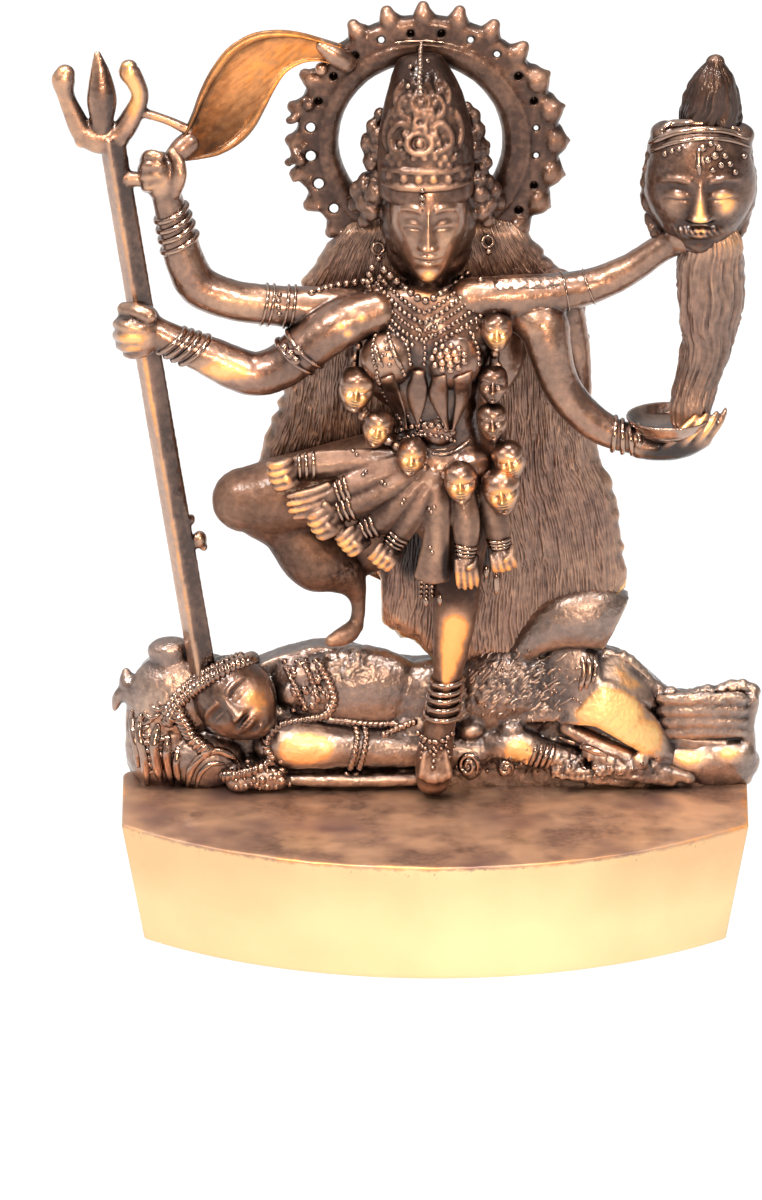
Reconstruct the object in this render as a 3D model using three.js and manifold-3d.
// Small cast-metal shrine figure: a many-armed goddess standing on a reclining god, in front of
// her own long hair, on a solid bow-fronted base. The whole thing is one casting.
// Millimetres, +Z up, the front faces -Y, and the origin is the centre of the base's underside.

import * as THREE from "three";
import { mergeVertices } from "three/addons/utils/BufferGeometryUtils.js";
import Module from "manifold-3d";

const wasm = await Module();
wasm.setup();

// Base: straight back and sides, a bowed front, and walls that draw in towards the underside.
const baseWidth = 66;
const baseSideDepth = 16.6;
const baseBow = 13;
const baseHeight = 13.4;
const baseDraft = 2.4;
const baseCornerRadius = 1.8;
const baseDepth = baseSideDepth + baseBow;

// Figure: its height from the base's top to the tip of the halo.
const figureHeight = 86.5;

// Halo: a pierced ring of rounded petals around the head.
const haloTipRadius = 15.4;
const haloOuterRadius = 12.5;
const haloInnerRadius = 8.9;
const haloBandRadius = 10.9;
const haloPlate = 2.2;
const haloBandRise = 0.9;
const haloPetals = 24;
const haloHoleRadius = 0.42;
const haloHoleSides = 4;
const haloRingSides = 32;

// Rods and plates that have a thickness of their own.
const staffWidth = 2.5;
const staffDepth = 2.3;
const swordThickness = 1.3;
const hairThickness = 4;
const bowlWall = 0.8;

// The low step that the reclining god lies on stays this far inside the base's sides.
const groundMargin = 1.4;
const groundStep = 1.3;

// The figure's points are written as x to the right, d forward from the base's back face and z
// above the base's top, for a figure of this height. place() brings them to the real height.
const drawnHeight = 86.5;
const share = figureHeight / drawnHeight;

function place(x, d, z) {
  return new THREE.Vector3(x * share, baseDepth / 2 - d * share, baseHeight + z * share);
}

// Solids and booleans

function toSolid(geometry) {
  geometry.deleteAttribute("normal");
  geometry.deleteAttribute("uv");
  const merged = mergeVertices(geometry, 1e-4);
  const vertices = merged.getAttribute("position").array;
  const index = merged.getIndex().array;
  const corner = (i) => new THREE.Vector3().fromArray(vertices, 3 * i);
  const triangles = [];
  let volume = 0;
  for (let t = 0; t < index.length; t += 3) {
    const [a, b, c] = [index[t], index[t + 1], index[t + 2]];
    if (a === b || b === c || c === a) continue;
    triangles.push([a, b, c]);
    volume += corner(a).dot(corner(b).cross(corner(c)));
  }
  const outward = volume < 0 ? triangles.map(([a, b, c]) => [a, c, b]) : triangles;
  const mesh = new wasm.Mesh({
    numProp: 3,
    vertProperties: Float32Array.from(vertices),
    triVerts: Uint32Array.from(outward.flat()),
  });
  return new wasm.Manifold(mesh);
}

function join(solids) {
  return solids.reduce((whole, solid) => whole.add(solid));
}

function toGeometry(solid) {
  const mesh = solid.getMesh();
  const positions = new Float32Array(mesh.numVert * 3);
  for (let i = 0; i < mesh.numVert; i += 1) {
    for (let axis = 0; axis < 3; axis += 1) {
      positions[3 * i + axis] = mesh.vertProperties[mesh.numProp * i + axis];
    }
  }
  const geometry = new THREE.BufferGeometry();
  geometry.setAttribute("position", new THREE.BufferAttribute(positions, 3));
  geometry.setIndex(new THREE.BufferAttribute(Uint32Array.from(mesh.triVerts), 1));
  geometry.computeVertexNormals();
  return geometry;
}

// Shapes

// A limb with rounded ends through stations [x, d, z, radius]. A lathe shape is turned straight,
// then each ring is carried to its place on the curve. flat squashes it from front to back.
function limb(stations, { sides = 7, steps = 1, flat = 1 } = {}) {
  const points = stations.map(([x, d, z]) => place(x, d, z));
  const radii = stations.map((station) => station[3] * share);
  const curve = new THREE.CatmullRomCurve3(points, false, "centripetal");
  const spans = stations.length - 1;
  const rings = spans * steps;
  const radiusAt = (t) => {
    const whole = Math.min(Math.floor(t * spans), spans - 1);
    return THREE.MathUtils.lerp(radii[whole], radii[whole + 1], t * spans - whole);
  };
  const profile = [new THREE.Vector2(0, -1)];
  profile.push(new THREE.Vector2(radii[0] * Math.SQRT1_2, -Math.SQRT1_2));
  for (let ring = 0; ring <= rings; ring += 1) {
    profile.push(new THREE.Vector2(radiusAt(ring / rings), ring / rings));
  }
  profile.push(new THREE.Vector2(radii[spans] * Math.SQRT1_2, 1 + Math.SQRT1_2));
  profile.push(new THREE.Vector2(0, 2));
  const geometry = new THREE.LatheGeometry(profile, sides);
  const position = geometry.getAttribute("position");
  const back = new THREE.Vector3(0, 1, 0);
  for (let i = 0; i < position.count; i += 1) {
    const along = position.getY(i);
    const t = THREE.MathUtils.clamp(along, 0, 1);
    const tangent = curve.getTangent(t);
    const across = new THREE.Vector3().crossVectors(tangent, back).normalize();
    const front = new THREE.Vector3().crossVectors(across, tangent).normalize();
    const beyond = along < 0 ? along * radii[0] : Math.max(along - 1, 0) * radii[spans];
    const centre = curve.getPoint(t).addScaledVector(tangent, beyond);
    centre.addScaledVector(across, position.getX(i));
    centre.addScaledVector(front, position.getZ(i) * flat);
    position.setXYZ(i, centre.x, centre.y, centre.z);
  }
  return toSolid(geometry);
}

// A rounded mass at (x, d, z) with its half sizes along x, d and z, turned in the front plane.
function mass(x, d, z, halfX, halfD, halfZ, { turn = 0, sides = 10 } = {}) {
  const geometry = new THREE.SphereGeometry(share, sides, Math.round(sides * 0.6));
  geometry.rotateX(Math.PI / 2);
  geometry.scale(halfX, halfD, halfZ);
  geometry.rotateY(THREE.MathUtils.degToRad(-turn));
  const centre = place(x, d, z);
  geometry.translate(centre.x, centre.y, centre.z);
  return toSolid(geometry);
}

// A plate with the outline given as [x, z] points, its back face at d = back, and its thickness in
// real millimetres. A round outline is a smooth curve through its points.
function plate(outline, back, thickness, { round = true, divisions = 1, bevel = 0 } = {}) {
  const points = outline.map(([x, z]) => new THREE.Vector2(x, z));
  const shape = new THREE.Shape();
  if (round) {
    const ring = points.map((point) => new THREE.Vector3(point.x, point.y, 0));
    const curve = new THREE.CatmullRomCurve3(ring, true, "centripetal");
    const smooth = curve.getPoints(points.length * divisions).slice(0, -1);
    shape.setFromPoints(smooth.map((point) => new THREE.Vector2(point.x, point.y)));
  } else {
    shape.setFromPoints(points);
  }
  const geometry = new THREE.ExtrudeGeometry(shape, {
    depth: thickness - 2 * bevel,
    bevelEnabled: bevel > 0,
    bevelThickness: bevel,
    bevelSize: bevel,
    bevelOffset: -bevel,
    bevelSegments: 1,
  });
  geometry.translate(0, 0, bevel);
  const position = geometry.getAttribute("position");
  for (let i = 0; i < position.count; i += 1) {
    const at = place(position.getX(i), back, position.getY(i));
    position.setXYZ(i, at.x, at.y - position.getZ(i), at.z);
  }
  return toSolid(geometry);
}

// A straight bar between two points [x, d, z], with a rectangular section in real millimetres.
function bar(from, to, width, depth) {
  const start = place(...from);
  const end = place(...to);
  const length = start.distanceTo(end);
  const geometry = new THREE.BoxGeometry(width, depth, length);
  const up = new THREE.Vector3(0, 0, 1);
  const direction = new THREE.Vector3().subVectors(end, start).normalize();
  geometry.applyQuaternion(new THREE.Quaternion().setFromUnitVectors(up, direction));
  const middle = start.add(end).multiplyScalar(0.5);
  geometry.translate(middle.x, middle.y, middle.z);
  return toSolid(geometry);
}

// The base, and the halo

function arc(centreX, centreY, radius, from, to, steps) {
  return Array.from({ length: steps + 1 }, (_, i) => {
    const turn = from + ((to - from) * i) / steps;
    return new THREE.Vector2(centreX + radius * Math.cos(turn), centreY + radius * Math.sin(turn));
  });
}

function base() {
  const half = baseWidth / 2;
  const corner = baseCornerRadius;
  const bowRadius = (half * half + baseBow * baseBow) / (2 * baseBow);
  const bowAngle = Math.asin(half / bowRadius);
  const down = -Math.PI / 2;
  const shape = new THREE.Shape([
    ...arc(0, bowRadius - baseDepth, bowRadius, down - bowAngle, down + bowAngle, 16),
    ...arc(half - corner, -corner, corner, 0, Math.PI / 2, 4),
    ...arc(corner - half, -corner, corner, Math.PI / 2, Math.PI, 4),
  ]);
  const geometry = new THREE.ExtrudeGeometry(shape, { depth: baseHeight, bevelEnabled: false });
  const position = geometry.getAttribute("position");
  for (let i = 0; i < position.count; i += 1) {
    const drop = baseDraft * (1 - position.getZ(i) / baseHeight);
    const x = position.getX(i) * (1 - drop / half);
    const forward = position.getY(i) * (1 - drop / baseDepth);
    position.setXYZ(i, x, forward + baseDepth / 2, position.getZ(i));
  }
  return toSolid(geometry);
}

const haloCentre = [-0.8, 71.1];
const haloBack = 1;

// The halo's radii are real millimetres, so they are brought to the figure's drawn units here.
function haloPoint(radius, angle, centre = haloCentre) {
  return [centre[0] + (radius * Math.sin(angle)) / share, centre[1] + (radius * Math.cos(angle)) / share];
}

function circle(radius, sides, centre = haloCentre) {
  const turn = (2 * Math.PI) / sides;
  return Array.from({ length: sides }, (_, i) => haloPoint(radius, (i + 0.5) * turn, centre));
}

function haloDisc(radius, behind, thickness, { sides = haloRingSides, centre = haloCentre } = {}) {
  return plate(circle(radius, sides, centre), haloBack - behind / share, thickness, { round: false });
}

function halo() {
  const petalTurn = (2 * Math.PI) / haloPetals;
  const petalShape = [[-0.42, 0.04], [-0.3, 0.7], [0, 1], [0.3, 0.7], [0.42, 0.04]];
  const rim = [];
  for (let petal = 0; petal < haloPetals; petal += 1) {
    for (const [turn, rise] of petalShape) {
      const radius = THREE.MathUtils.lerp(haloOuterRadius, haloTipRadius, rise);
      rim.push(haloPoint(radius, (petal + turn) * petalTurn));
    }
  }
  const petals = plate(rim, haloBack, haloPlate, { round: false });
  const band = haloDisc(haloOuterRadius, 0, haloPlate + haloBandRise);
  const recess = haloDisc(haloBandRadius, -haloPlate, 2 * haloBandRise);
  const past = 1;
  const through = haloPlate + haloBandRise + 2 * past;
  const opening = haloDisc(haloInnerRadius, past, through);
  let ring = join([petals, band]).subtract(recess).subtract(opening);
  const holeCircle = (haloOuterRadius + haloBandRadius) / 2;
  for (let hole = 0; hole < haloPetals; hole += 1) {
    const centre = haloPoint(holeCircle, (hole + 0.5) * petalTurn);
    ring = ring.subtract(haloDisc(haloHoleRadius, past, through, { sides: haloHoleSides, centre }));
  }
  return [ring];
}

// The standing goddess

function hair() {
  const outline = [
    [-9, 62.5], [-11.6, 59.5], [-14.2, 54.8], [-15.8, 48.5], [-16.2, 43], [-18.2, 37.4], [-19.2, 33.4],
    [-17.6, 28.6], [-13.8, 24.4], [-9.4, 21.4], [-6.6, 17], [-4.6, 13.4], [0, 12.6], [8, 13], [18, 13.4],
    [20.2, 19.8], [19.7, 27.6], [18.8, 32.6], [16.8, 38], [16.2, 43.4], [16, 49], [15.4, 53.8],
    [12.6, 57.4], [10, 60.6], [8.6, 62.5], [0, 63.5],
  ];
  return [plate(outline, 0.4, hairThickness, { bevel: 0.9 })];
}

function head() {
  return [
    limb([[-0.5, 7.2, 54.4, 2.2], [-0.7, 7.6, 59.4, 2]]),
    mass(-0.7, 7.9, 62.9, 3.9, 3.9, 5.5),
    mass(-0.7, 5.6, 63.4, 5.6, 3.2, 6, { sides: 8 }),
    mass(-6.3, 6, 66.4, 1.5, 1.3, 2.7, { turn: 12, sides: 6 }),
    mass(5.1, 6, 65.9, 1.5, 1.3, 2.7, { turn: -12, sides: 6 }),
    mass(-6.1, 4.8, 72, 1.3, 1.2, 3.4, { turn: 6, sides: 6 }),
    mass(4.2, 4.8, 72.8, 1.3, 1.2, 3.8, { turn: -6, sides: 6 }),
    earFlare(-1, -5.2, 67.6, 1.417),
    earFlare(1, 3.8, 67.4, 1.706),
  ];
}

// A curl of hair beside the ear, from the head out to the halo: it starts at x = from and reaches
// a little past the halo's inner edge.
function earFlare(side, from, z, past) {
  const edge = Math.sqrt((haloInnerRadius / share) ** 2 - (z - haloCentre[1]) ** 2);
  const to = haloCentre[0] + side * (edge + past);
  return mass((from + to) / 2, 3.2, z, Math.abs(to - from) / 2, 1.5, 2.2, { sides: 6 });
}

function crown() {
  return [
    limb([[-0.7, 6.8, 67.4, 4.9], [-0.8, 6.2, 72, 4.8], [-0.9, 5.4, 78, 3.7], [-0.9, 5, 79.8, 2.4]],
      { sides: 12, flat: 0.78 }),
    limb([[-1.3, 8.6, 82.2, 0.5], [-1.3, 9.2, 76, 0.7], [-1.2, 10, 69.6, 0.7]], { sides: 6 }),
    limb([[-1.2, 3.4, 80, 1.4], [-1.1, 2.6, 84, 0.9]], { sides: 8 }),
  ];
}

function torso() {
  return [
    limb([[0.4, 6.8, 36.6, 5.2], [0.4, 7.4, 41.6, 4.2], [-0.2, 7.4, 46.6, 5.6], [-0.3, 7, 51.4, 7.4],
      [0.2, 6.2, 55, 8]], { sides: 10, steps: 2, flat: 0.66 }),
    mass(-5, 9.6, 50, 3, 2.4, 3),
    mass(1.9, 9.8, 49.4, 3, 2.4, 3),
    mass(0.4, 9, 53.8, 5.6, 2, 3.2, { sides: 8 }),
    mass(0.2, 4.2, 50, 9.5, 2.6, 9, { sides: 8 }),
  ];
}

function arms() {
  const swordArm = [
    limb([[-8, 6.4, 53.4, 2.8], [-12.6, 6.2, 53.8, 2.3], [-17.4, 6.5, 54.3, 2.2], [-23.2, 7, 55.5, 2.2],
      [-26, 7, 58.2, 2.15], [-26.9, 7, 61.5, 2], [-27.7, 7, 64.9, 1.75]]),
    mass(-28.6, 7.3, 69, 2.5, 2.2, 3, { turn: 10, sides: 8 }),
  ];
  const staffArm = [
    limb([[-6.4, 8.2, 54.9, 3], [-9.4, 8.6, 53.6, 3.1], [-13.4, 9, 50.6, 2.7], [-19, 9, 47.6, 2.4],
      [-23.2, 9, 49.2, 2.25], [-27.2, 9, 51.2, 1.8]]),
    mass(-31.2, 8.6, 52.8, 2.6, 2.2, 3.1, { turn: -20, sides: 8 }),
  ];
  const headArm = [
    limb([[7.4, 6.2, 54, 2.8], [11.6, 6, 54.9, 2.2], [16.3, 6, 56.1, 2], [20.6, 6.5, 58.5, 1.7],
      [24, 7, 61.2, 1.5]]),
    mass(25.6, 7.6, 62.2, 1.9, 1.7, 1.9, { sides: 8 }),
  ];
  const bowlArm = [
    limb([[6.6, 7.6, 55.3, 2.8], [9.8, 8.2, 54, 2.7], [11.7, 8.5, 50.4, 2.4], [13.9, 8.5, 44.9, 2],
      [16.9, 8.5, 41.9, 1.9], [20.4, 8.5, 40.6, 1.6]]),
    limb([[20.8, 8.5, 40.6, 1.6], [25.2, 8.5, 40.4, 1.55], [28.6, 8.5, 41.4, 1.2], [30.2, 8.5, 43, 0.9]],
      { flat: 1.3 }),
    limb([[12.6, 4, 55, 3], [14.6, 4.4, 49, 2.4], [15, 4.4, 44, 1.8]], { flat: 0.7 }),
  ];
  return [...swordArm, ...staffArm, ...headArm, ...bowlArm];
}

function standingLeg() {
  return [
    limb([[2.6, 6.6, 35.4, 4], [2.6, 7.6, 29.6, 3.1], [2.1, 7.9, 24.4, 2.5], [1.6, 7.9, 19, 2.15],
      [1.1, 7.7, 12.8, 1.35], [0.9, 7.5, 10, 1.25]]),
    limb([[0.8, 7.4, 9, 1.5], [0.2, 7.4, 5.8, 1.9], [-0.2, 7.3, 2.8, 2], [-0.3, 7.3, 1.5, 1.8]]),
  ];
}

function raisedLeg() {
  return [
    limb([[-2.6, 6.8, 36.4, 4.4], [-11.4, 7.4, 34.4, 4.3], [-17.4, 7.6, 33.6, 4], [-20.4, 7.4, 33.2, 3.6]],
      { flat: 0.9 }),
    limb([[-19.6, 6.6, 31.4, 3.2], [-15.8, 6.2, 27, 2.7], [-11.9, 6.2, 23.6, 1.8], [-8.6, 6.4, 20.9, 1],
      [-8.1, 6.5, 18.4, 0.95]], { steps: 2 }),
    limb([[-8, 6.6, 18, 1], [-9.4, 7.2, 17.4, 1], [-11, 7.8, 17.3, 0.75]], { sides: 8 }),
    mass(-13.6, 5.2, 31, 7, 2.8, 5.6, { turn: 35, sides: 8 }),
  ];
}

function skirt() {
  const cutArms = [
    [[-4.2, 9.2, 38], [-17, 9.4, 36.9]],
    [[-4.2, 9.2, 37], [-15.9, 9.9, 33.4]],
    [[-3.7, 9.4, 36.4], [-14.1, 10.2, 30.3]],
    [[-2.8, 9.6, 35.7], [-10.4, 10.4, 28]],
    [[-1.6, 9.8, 35.1], [-6.9, 10.6, 26.6]],
    [[0.1, 10, 34.9], [-0.5, 10.6, 25]],
    [[2.8, 10, 35.1], [3.3, 10.4, 23.4]],
    [[5.6, 9.6, 35.3], [7.1, 9.8, 23.9]],
  ];
  const hanging = cutArms.map(([root, tip]) => {
    const along = (t) => root.map((value, axis) => THREE.MathUtils.lerp(value, tip[axis], t));
    const between = (t, radius) => [...along(t), radius];
    return limb([between(0, 1.4), between(0.76, 1.2), between(0.86, 1.45), between(0.96, 1.1)], { sides: 6 });
  });
  return [
    ...hanging,
    mass(0.8, 7.4, 36.8, 6.6, 4, 3.4),
    limb([[0.8, 7.4, 36, 5.8], [1.6, 7.4, 31, 6], [2, 7.2, 27.6, 5]], { sides: 10, flat: 0.55 }),
    mass(-6.2, 7.6, 33, 5.4, 2.6, 4, { turn: 35, sides: 8 }),
  ];
}

function garland() {
  const smallHeads = [
    [-8.6, 9.4, 46.3], [-6.1, 9.8, 42], [-2.4, 10.2, 38.9], [2.3, 10.6, 36.3], [7.2, 9.8, 34.9],
    [7.9, 9.4, 38.6], [5.8, 9.4, 42.8], [6, 9.4, 47], [6.3, 9.2, 52.6],
  ];
  const loose = smallHeads.slice(0, 3);
  const cord = [[-8, 8, 52.8, 1], ...loose.map(([x, d, z]) => [x, d - 1, z, 1])];
  return [
    ...smallHeads.map(([x, d, z]) => mass(x, d, z, 1.9, 1.75, 2.3, { sides: 6 })),
    limb(cord, { sides: 4 }),
  ];
}

// What the hands hold

function staffAndTrident() {
  return [
    bar([-33.5, 7, 73], [-24.3, 5.4, 11.6], staffWidth, staffDepth),
    limb([[-38.3, 7, 81.2, 0.95], [-38.6, 7, 77.4, 0.9], [-37.5, 7, 74.2, 0.95], [-34.9, 7, 72.8, 1.1],
      [-32.3, 7, 74.2, 0.95], [-31.2, 7, 77.4, 0.9], [-31.6, 7, 81.2, 0.95]], { sides: 6 }),
    limb([[-34.8, 7, 72.8, 0.9], [-34.8, 7, 76.4, 1.35], [-34.9, 7, 81.8, 0.45]], { sides: 6, flat: 0.8 }),
    bar([-31.2, 7, 75.2], [-25, 6.6, 73.4], 1, 1),
    bar([-33.4, 7.1, 69.4], [-29, 7.3, 69.2], 1.6, 1.4),
  ];
}

function sword() {
  const outline = [
    [-28.2, 71.2], [-26.7, 73], [-25.5, 75], [-23.5, 79.4], [-21.4, 82.1], [-17.4, 83.3], [-14.3, 83.3],
    [-11.8, 82.2], [-9.9, 80.6], [-11.6, 80.4], [-13.6, 80.6], [-16.4, 78.4], [-17.9, 76.6], [-20.5, 72.8],
    [-23.5, 70], [-26, 69.4],
  ];
  const handleAt = -28.2;
  const tipAt = -9.9;
  const handleBack = 6.6;
  const tipBack = 1.9;
  const upright = plate(outline, 0, swordThickness, { divisions: 2 });
  return [
    upright.warp((point) => {
      const t = (point[0] / share - handleAt) / (tipAt - handleAt);
      point[1] -= THREE.MathUtils.lerp(handleBack, tipBack, t) * share;
    }),
  ];
}

function severedHead() {
  return [
    mass(27.5, 7.6, 67.4, 5.7, 4.2, 7),
    mass(27.6, 7, 73, 5, 3.6, 1.8, { sides: 8 }),
    limb([[28.6, 6.6, 74, 3.2], [29.1, 6.2, 77.4, 2.9], [29.2, 6, 81, 1.3]], { flat: 0.8 }),
    mass(21.9, 6.4, 67, 1, 1.2, 2.6, { sides: 6 }),
    mass(33, 6.4, 67, 1, 1.2, 2.6, { sides: 6 }),
    limb([[29, 6.6, 61.4, 3.4], [29, 6.8, 55, 3.3], [28.7, 7, 50.4, 2.9], [27.8, 7.4, 46.6, 2.3],
      [27, 8, 42.4, 2.2]], { flat: 0.8 }),
  ];
}

function bowl() {
  const rim = 3.9 * share;
  const rise = 2.4 * share;
  const waist = rim / 2;
  const profile = [
    [0, 0], [waist, 0.2], [rim, rise], [rim - bowlWall, rise], [waist - bowlWall / 2, bowlWall + 0.3],
    [0, bowlWall],
  ].map(([radius, height]) => new THREE.Vector2(radius, height));
  const geometry = new THREE.LatheGeometry(profile, 16);
  geometry.rotateX(Math.PI / 2);
  const centre = place(23.6, 8.4, 41);
  geometry.translate(centre.x, centre.y, centre.z);
  return [toSolid(geometry)];
}

// The reclining god

function ground() {
  const outline = [
    [-31.4, -0.6], [-32.4, 4], [-32.8, 9], [-30.6, 13], [-27, 14.2], [-22.4, 13.4], [-17, 13.8], [-10, 14.4],
    [-2, 14.4], [5, 16.6], [10, 19.4], [14.6, 20.8], [18.6, 19.8], [21, 16.6], [24, 12.4], [27, 11.4],
    [32.6, 11.2], [33, 6], [32.6, 3], [31.9, -0.6],
  ];
  const sunk = 0.6;
  const half = (baseWidth / 2 - groundMargin) / share;
  const top = groundStep / share;
  const step = [[-half, -sunk], [top - half, top], [half - top, top], [half, -sunk]];
  return [
    plate(outline, 0.5, 3.2 * share, { bevel: 0.6 * share }),
    plate(step, 0.8, 4.4 * share, { round: false }),
  ];
}

function recliningHead() {
  return [
    mass(-21.4, 5, 9.8, 3.4, 3.2, 4.8, { turn: -38, sides: 9 }),
    mass(-27.6, 3.6, 9.6, 5, 2.8, 5, { sides: 8 }),
    mass(-26.8, 3.6, 14, 2.2, 2, 2, { sides: 8 }),
    mass(-31, 3.2, 11.6, 2.1, 1.8, 2.1, { sides: 8 }),
    mass(-29.4, 4, 3.6, 3.4, 2.4, 4, { sides: 8 }),
    mass(-24.2, 5, 2.8, 3.8, 2.4, 3, { sides: 8 }),
    mass(-17.8, 6, 1.7, 3.4, 2, 1.9, { sides: 8 }),
    limb([[-25.4, 4.6, 14, 1.6], [-25.2, 4.8, 11, 2.4]], { sides: 8 }),
  ];
}

function recliningBody() {
  return [
    mass(-9, 3, 9.8, 8.6, 3, 5.4, { sides: 9 }),
    mass(0.4, 3.2, 9, 7.4, 3, 5, { sides: 9 }),
    mass(7.4, 3.6, 9.4, 6.4, 3, 5.8, { sides: 9 }),
    limb([[-16.8, 5, 5.2, 2.5], [-9, 5, 4.6, 2.2], [-1.6, 4.9, 4.3, 1.9], [6, 4.8, 3.8, 1.6],
      [12.5, 5, 3, 1.3], [18, 5, 1.9, 1.4]]),
    limb([[5.8, 4.4, 7.6, 3.6], [12.6, 4.9, 10.6, 3.3], [18.6, 5.4, 13.4, 2.9], [21.6, 5.4, 9, 2.6],
      [24.6, 5.2, 4.8, 2.2], [27, 5, 2.4, 1.8]]),
    limb([[8.4, 3.6, 13, 3.2], [15.6, 3.4, 17.6, 3], [18.6, 3.4, 14.4, 2.6]]),
  ];
}

function foot() {
  const toeHeights = [10, 8.3, 6.7];
  const toes = toeHeights.map((z) => limb([[24.6, 3.6, z, 0.9], [32.8, 3.6, z, 0.85]], { sides: 6 }));
  return [
    ...toes,
    mass(29, 4.2, 3, 4.2, 2.2, 3.2, { sides: 8 }),
    mass(31.6, 2.4, 11, 2, 1.4, 1.2, { sides: 6 }),
  ];
}

// The finished part

const figureSolid = join([
  base(),
  ...ground(),
  ...recliningHead(),
  ...recliningBody(),
  ...foot(),
  ...hair(),
  ...halo(),
  ...head(),
  ...crown(),
  ...torso(),
  ...arms(),
  ...standingLeg(),
  ...raisedLeg(),
  ...skirt(),
  ...garland(),
  ...staffAndTrident(),
  ...sword(),
  ...severedHead(),
  ...bowl(),
]);

const antiquedCopper = new THREE.MeshStandardMaterial({ color: 0x7a4e34, roughness: 0.34, metalness: 0.95 });
const figure = new THREE.Mesh(toGeometry(figureSolid), antiquedCopper);
figure.name = "kali_figure";

const part = new THREE.Group();
part.add(figure);

export default part;
